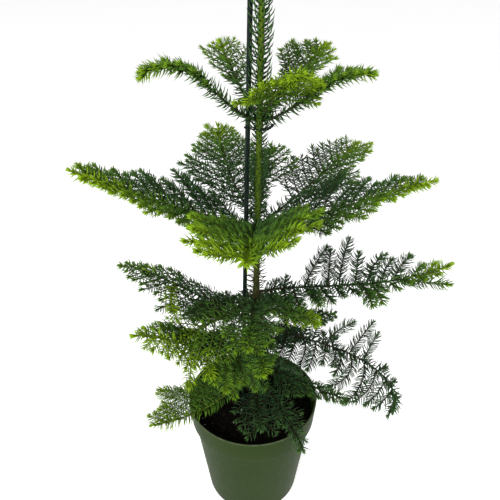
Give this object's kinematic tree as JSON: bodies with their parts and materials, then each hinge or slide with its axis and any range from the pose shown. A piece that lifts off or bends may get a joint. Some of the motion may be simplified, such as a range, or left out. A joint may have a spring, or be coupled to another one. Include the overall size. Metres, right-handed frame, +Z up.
{
  "type": "potted norfolk island pine",
  "caption": "Young Norfolk Island pine with tiered whorls of drooping needle fronds, tied to a stake in a tapered plastic nursery pot filled with dark potting mix.",
  "frame": {"origin": "centre of the underside of the pot, on the surface that it stands on", "axes": "+Z up along the pot's axis and nearly along the stem, +X to the right as the plant is seen from its front, -Y towards the front"},
  "size_m": [0.3652, 0.306, 0.6175],
  "materials": {
    "pot_plastic": "matte moulded, sage green",
    "potting_mix": "loose dark bark and peat with white specks",
    "stem_bark": "green at the top and brown at the foot, dry needles",
    "stake_plastic": "dark green plastic-coated rod",
    "tie_plastic": "dark plastic twist tie",
    "young_foliage": "waxy yellow-green to mid green needles",
    "old_foliage": "waxy dark blue-green needles"
  },
  "bodies": {
    "root": {"pot": "pot_plastic", "soil": "potting_mix", "stem": "stem_bark", "stake": "stake_plastic", "tie": "tie_plastic", "base_frond_front": "old_foliage", "base_frond_front_right": "old_foliage", "crown_frond_back_left": "young_foliage", "crown_frond_back_right": "young_foliage", "crown_frond_front": "young_foliage", "crown_frond_left": "young_foliage", "crown_frond_right": "young_foliage", "lower_frond_back": "old_foliage", "lower_frond_back_left": "old_foliage", "lower_frond_back_right": "old_foliage", "lower_frond_front": "old_foliage", "lower_frond_front_left": "old_foliage", "lower_frond_right": "old_foliage", "middle_frond_front": "old_foliage", "middle_frond_front_left": "old_foliage", "middle_frond_front_right": "old_foliage", "middle_frond_left": "old_foliage", "middle_frond_right": "old_foliage", "skirt_frond_back_left": "old_foliage", "skirt_frond_back_right": "old_foliage", "skirt_frond_left": "old_foliage", "skirt_frond_right": "old_foliage", "upper_frond_back": "young_foliage", "upper_frond_back_left": "young_foliage", "upper_frond_back_right": "young_foliage", "upper_frond_front": "young_foliage", "upper_frond_left": "young_foliage", "upper_frond_right": "young_foliage"}
  },
  "joints": []
}
